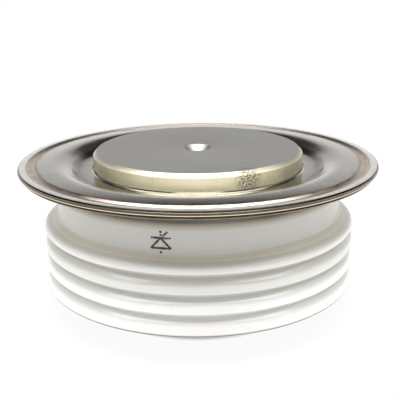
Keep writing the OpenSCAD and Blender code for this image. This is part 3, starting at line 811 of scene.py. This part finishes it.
# The upper side keeps the slope up to the trench, then the trench and the flat lip follow
slope_end_r = trench_r - 0.25
under_end_r = trench_r + 0.3
slope = [p for p in upper if p.x < slope_end_r]
rim = rounded([
    (slope[-1].x, slope[-1].y, 0),
    (trench_r, lip_z, trench_brink),
    (trench_r + trench_foot, lip_z - trench_depth, trench_floor_bend),
    (trench_r + trench_w - trench_foot, lip_z - trench_depth, trench_floor_bend),
    (trench_r + trench_w, lip_z, trench_brink),
    (edge_r, lip_z, lip_round),
    (edge_r, seam_z, burr_round),
    (slope[-1].x, seam_z, 0),
])[1:-1]
under = [p for p in lower if p.x < under_end_r]
collar_r = contact_r + flange_t
collar_foot = groove_z - flange_t - collar_h
collar = rounded([
    (groove_end_r, groove_z - flange_t, 0),
    (collar_r, groove_z - flange_t, collar_bend),
    (collar_r, collar_foot, sheet_edge_round),
    (contact_r, collar_foot, 0),
])[1:]
# The hollow fillet of braze between the pole and the groove
fillet = [
    Vector((contact_r, groove_z + braze_leg)),
    Vector((contact_r + braze_waist_w, groove_z + braze_waist_h)),
    Vector((contact_r + braze_leg, groove_z)),
]
flange_section = fillet + slope + rim + under[::-1] + collar
cathode_flange = turned("cathode_flange_pressed", flange_section, bright_nickel)
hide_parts("cathode_flange")
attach(cathode_flange, "root")

# The trim tool left a row of small leaning teeth round the lower half of the edge
tooth_taper = (1.0, 0.35, 0.75)
mill_inputs = {
    "Teeth": 560,
    "Edge": edge_r * mm,
    "Low": (seam_z + 0.18) * mm,
    "Tall": 0.24 * mm,
    "Wide": 0.14 * mm,
    "Deep": 1.8 * milling * mm,
    "Lean": math.radians(22),
}
milled, size = growing_tree("milled edge", mill_inputs, "Plate")
edge = add(milled, "GeometryNodeMeshCircle", {"Vertices": size["Teeth"], "Radius": size["Edge"]}).outputs[0]
middle = add(milled, "ShaderNodeMath", {
    0: size["Tall"], 1: 0.5, 2: size["Low"]}, operation="MULTIPLY_ADD").outputs[0]
lift = add(milled, "ShaderNodeCombineXYZ", {"Z": middle}).outputs[0]
edge = add(milled, "GeometryNodeSetPosition", {"Geometry": edge, "Offset": lift}).outputs[0]
block = add(milled, "ShaderNodeCombineXYZ", {
    "X": size["Deep"], "Y": size["Wide"], "Z": size["Tall"]}).outputs[0]
tooth = add(milled, "GeometryNodeMeshCube", {"Size": block}).outputs[0]
where = add(milled, "GeometryNodeInputPosition").outputs[0]
outside = add(milled, "ShaderNodeSeparateXYZ", {0: where}).outputs["X"]
outside = add(milled, "FunctionNodeCompare", {0: outside, 1: 0.0}, operation="GREATER_THAN").outputs[0]
tip = add(milled, "ShaderNodeVectorMath", {0: where, 1: tooth_taper}, operation="MULTIPLY").outputs[0]
tooth = add(milled, "GeometryNodeSetPosition", {
    "Geometry": tooth, "Selection": outside, "Position": tip}).outputs[0]
index = add(milled, "GeometryNodeInputIndex").outputs[0]
share = add(milled, "ShaderNodeMath", {0: index, 1: size["Teeth"]}, operation="DIVIDE").outputs[0]
around = add(milled, "ShaderNodeMath", {0: share, 1: 2 * math.pi}, operation="MULTIPLY").outputs[0]
facing = add(milled, "ShaderNodeCombineXYZ", {"X": size["Lean"], "Z": around}).outputs[0]
facing = add(milled, "FunctionNodeEulerToRotation", {0: facing}).outputs[0]
teeth = add(milled, "GeometryNodeInstanceOnPoints", {
    "Points": edge, "Instance": tooth, "Rotation": facing}).outputs[0]
teeth = add(milled, "GeometryNodeRealizeInstances", {"Geometry": teeth}).outputs[0]
teeth = add(milled, "GeometryNodeSetMaterial", {"Geometry": teeth, "Material": size["Plate"]}).outputs[0]
add(milled, "NodeGroupOutput", {0: teeth})
bare_trim = satin_nickel("satin nickel on milled trim", "#b9ad99", "#a29680", "#7d6f59")
flange_teeth = grown(
    "cathode_flange_teeth", bpy.data.meshes.new("teeth base"), milled, mill_inputs | {"Plate": bare_trim})
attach(flange_teeth, "root")


# Cathode pole: the upper copper disc, turned and plated like the lower one, with its locating hole.
# The gate's pocket and the slot for its lead are in its lower end, out of sight.
pole_z = 11.7
hole_worn_edge = 0.04
rubbed_spot = (7.3, -15.3, 24.9)
cathode_pole = turned("cathode_pole_turned", rounded([
    (0, pole_z, 0),
    (contact_r - inner_bevel, pole_z, 0),
    (contact_r, pole_z + inner_bevel, 0),
    (contact_r, case_h - contact_bevel, worn_edge),
    (contact_r - contact_bevel, case_h, worn_edge),
    (hole_r + hole_bevel, case_h, hole_worn_edge),
    (hole_r, case_h - hole_bevel, hole_worn_edge),
    (hole_r, case_h - hole_bevel - hole_wall_h, 0),
    (0, case_h - hole_bevel - hole_wall_h - drill_point, 0),
]), turned_nickel(
    # The side's pale cream is partly painted reflection of the bright front
    "matte nickel on cathode copper", ("#c4c2bc", "#bab8b2"), ("#f8f0d4", "#ece4c6"), worn=rubbed_spot))
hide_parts("cathode_pole")
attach(cathode_pole, "root")


# Studio: a white table that keeps the part's shadow and lights the ribs from below, soft lamps overhead
# and in front, and a white room with a dim ceiling, dim sides and a bright card low in front.
table_span = 6.0
table_drop = 0.02
shade_r = 24.0
shadow_r = 32.0
glow_full_r = 26.0
glow_fade_r = 34.0
glow_end_r = 90.0
near_glow = 0.4
far_glow = 0.24
table_white, tree, place = new_finish("white table")
# Plain white paper: it is seen as white, less so the nearer it lies to the part's foot, so that the shadow
# shows, and it sends a soft light upwards from just outside the part
ray = add(tree, "ShaderNodeLightPath").outputs
seen = add(tree, "ShaderNodeMath", {
    0: ray["Is Camera Ray"], 1: ray["Is Glossy Ray"]}, operation="MAXIMUM").outputs[0]
seen = add(tree, "ShaderNodeMath", {0: seen, 1: ray["Is Transmission Ray"]}, operation="MAXIMUM").outputs[0]
away = add(tree, "ShaderNodeVectorMath", {0: place}, operation="LENGTH").outputs["Value"]
share = add(tree, "ShaderNodeMapRange", {"Value": away, "From Max": shadow_r * mm}).outputs["Result"]
clear = toned(tree, share, [(stop_r / shadow_r, hexa) for stop_r, hexa in [
    (contact_r - 0.4, "#9c9c9c"),
    (contact_r + 0.4, "#f8f8f8"),
    (shade_r, "#f8f8f8"),
    (shadow_r, "#ffffff"),
]])
seen = add(tree, "ShaderNodeMath", {0: seen, 1: clear}, operation="MULTIPLY").outputs[0]
matt = add(tree, "ShaderNodeBsdfDiffuse", {"Color": (0.8, 0.8, 0.8, 1)}).outputs[0]
near = add(tree, "ShaderNodeMapRange", {
    "Value": away, "From Min": shade_r * mm, "From Max": glow_full_r * mm, "To Max": near_glow,
}).outputs["Result"]
glow = add(tree, "ShaderNodeMapRange", {
    "Value": away, "From Min": glow_fade_r * mm, "From Max": glow_end_r * mm, "To Min": near,
    "To Max": far_glow,
}).outputs["Result"]
lamp = add(tree, "ShaderNodeEmission", {"Color": (1, 1, 1, 1), "Strength": glow}).outputs[0]
paper = add(tree, "ShaderNodeAddShader", {0: matt, 1: lamp}).outputs[0]
bright = add(tree, "ShaderNodeEmission", {"Color": (1, 1, 1, 1), "Strength": 1.0}).outputs[0]
top = add(tree, "ShaderNodeMixShader", {0: seen, 1: paper, 2: bright}).outputs[0]
add(tree, "ShaderNodeOutputMaterial", {"Surface": top})
table_mesh = bpy.data.meshes.new("table")
table_corners = [(-1, -1), (1, -1), (1, 1), (-1, 1)]
table_mesh.from_pydata(
    [(x * table_span, y * table_span, -table_drop * mm) for x, y in table_corners], [], [(0, 1, 2, 3)])
table_mesh.materials.append(table_white)
table = bpy.data.objects.new("table", table_mesh)
scene.collection.objects.link(table)

room = bpy.data.worlds.new("white room")
scene.world = room
room.use_nodes = True
tree = room.node_tree
tree.nodes.clear()
ray = add(tree, "ShaderNodeLightPath").outputs
toward = add(tree, "ShaderNodeTexCoord").outputs["Generated"]
split = add(tree, "ShaderNodeSeparateXYZ", {0: toward}).outputs
# White walls that fade a little upwards, then a dim ceiling
walls = toned(tree, split["Z"], [
    (0.0, "#ffffff"),
    (0.12, "#ffffff"),
    (0.24, "#e2e2e2"),
    (0.37, "#dedede"),
    (0.44, "#3f3f3f"),
    (1.0, "#3f3f3f"),
])
behind = add(tree, "ShaderNodeMapRange", {"Value": split["Y"], "From Min": -1.0}).outputs["Result"]
dim = toned(tree, behind, [(0.5, "#ffffff"), (0.58, "#b4b4b4"), (0.8, "#b4b4b4"), (0.9, "#ffffff")])
shown = add(tree, "ShaderNodeMix", {
    "Factor": 1.0, 6: walls, 7: dim}, data_type="RGBA", blend_type="MULTIPLY").outputs[2]
# The card low in front and the dim sides show in reflections; the sides also fill the shade on the part
card_level = 5.0
side_level = 0.5
fill_level = 2.1
card = add(tree, "ShaderNodeMapRange", {
    "Value": split["Z"], "From Min": 0.14, "From Max": 0.08, "To Min": 1.0, "To Max": card_level,
}).outputs["Result"]
front = add(tree, "ShaderNodeMapRange", {
    "Value": split["Y"], "From Min": -0.68, "From Max": -0.82, "To Min": 1.0, "To Max": card,
}).outputs["Result"]
aside = add(tree, "ShaderNodeMath", {0: split["X"], 1: 4.0}, operation="POWER").outputs[0]
level = add(tree, "ShaderNodeMapRange", {
    "Value": aside, "From Min": 0.05, "From Max": 0.4, "To Min": front, "To Max": side_level,
}).outputs["Result"]
shown = add(tree, "ShaderNodeVectorMath", {0: shown, 3: level}, operation="SCALE").outputs[0]
fill = add(tree, "ShaderNodeMapRange", {
    "Value": aside, "To Min": 0.02, "To Max": fill_level}).outputs["Result"]
lit = add(tree, "ShaderNodeMix", {
    "Factor": ray["Is Diffuse Ray"], 6: shown, 7: fill}, data_type="RGBA").outputs[2]
lit = add(tree, "ShaderNodeMix", {
    "Factor": ray["Is Camera Ray"], 6: lit, 7: (1, 1, 1, 1)}, data_type="RGBA").outputs[2]
sky = add(tree, "ShaderNodeBackground", {"Color": lit, "Strength": 1.0}).outputs[0]
add(tree, "ShaderNodeOutputWorld", {"Surface": sky})

# A bright strip close overhead, a dim panel behind it, and a faint, broad lamp in front that reaches
# under the rim: place and size in metres, and watts
for name, at, wide, deep, watts in [
    ("strip overhead", (0, -0.0525, 0.17), 0.34, 0.065, 0.42),
    ("panel overhead", (0, 0.02, 0.17), 0.20, 0.08, 0.07),
    ("softbox in front", (0, -0.30, 0.25), 0.30, 0.10, 0.14),
]:
    lamp = bpy.data.objects.new(name, bpy.data.lights.new(name, "AREA"))
    lamp.data.shape = "RECTANGLE"
    lamp.data.size = wide
    lamp.data.size_y = deep
    lamp.data.energy = watts
    aim = Vector((0, 0, -1)) if "overhead" in name else -Vector(at)
    lamp.matrix_world = Matrix.Translation(at) @ aim.to_track_quat("-Z", "Y").to_matrix().to_4x4()
    scene.collection.objects.link(lamp)


# Camera: in front and above, at the photograph's distance and angle, with a short telephoto lens.
# It stands on the part's plane of symmetry, turned and rolled by under a degree as the photograph was.
camera_y = -120.720
camera_z = 54.243
looks_down = 0.29952
looks_right = 0.00222
rolled = 0.01154
camera = bpy.data.objects.new("camera", bpy.data.cameras.new("camera"))
camera.data.sensor_width = 36
camera.data.lens = 68.08
camera.data.clip_start = 0.005
camera.matrix_world = (
    Matrix.Translation((0, camera_y * mm, camera_z * mm))
    @ Matrix.Rotation(-looks_right, 4, "Z")
    @ Matrix.Rotation(math.pi / 2 - looks_down, 4, "X")
    @ Matrix.Rotation(-rolled, 4, "Z"))
scene.collection.objects.link(camera)
scene.camera = camera
scene.view_settings.view_transform = "Standard"
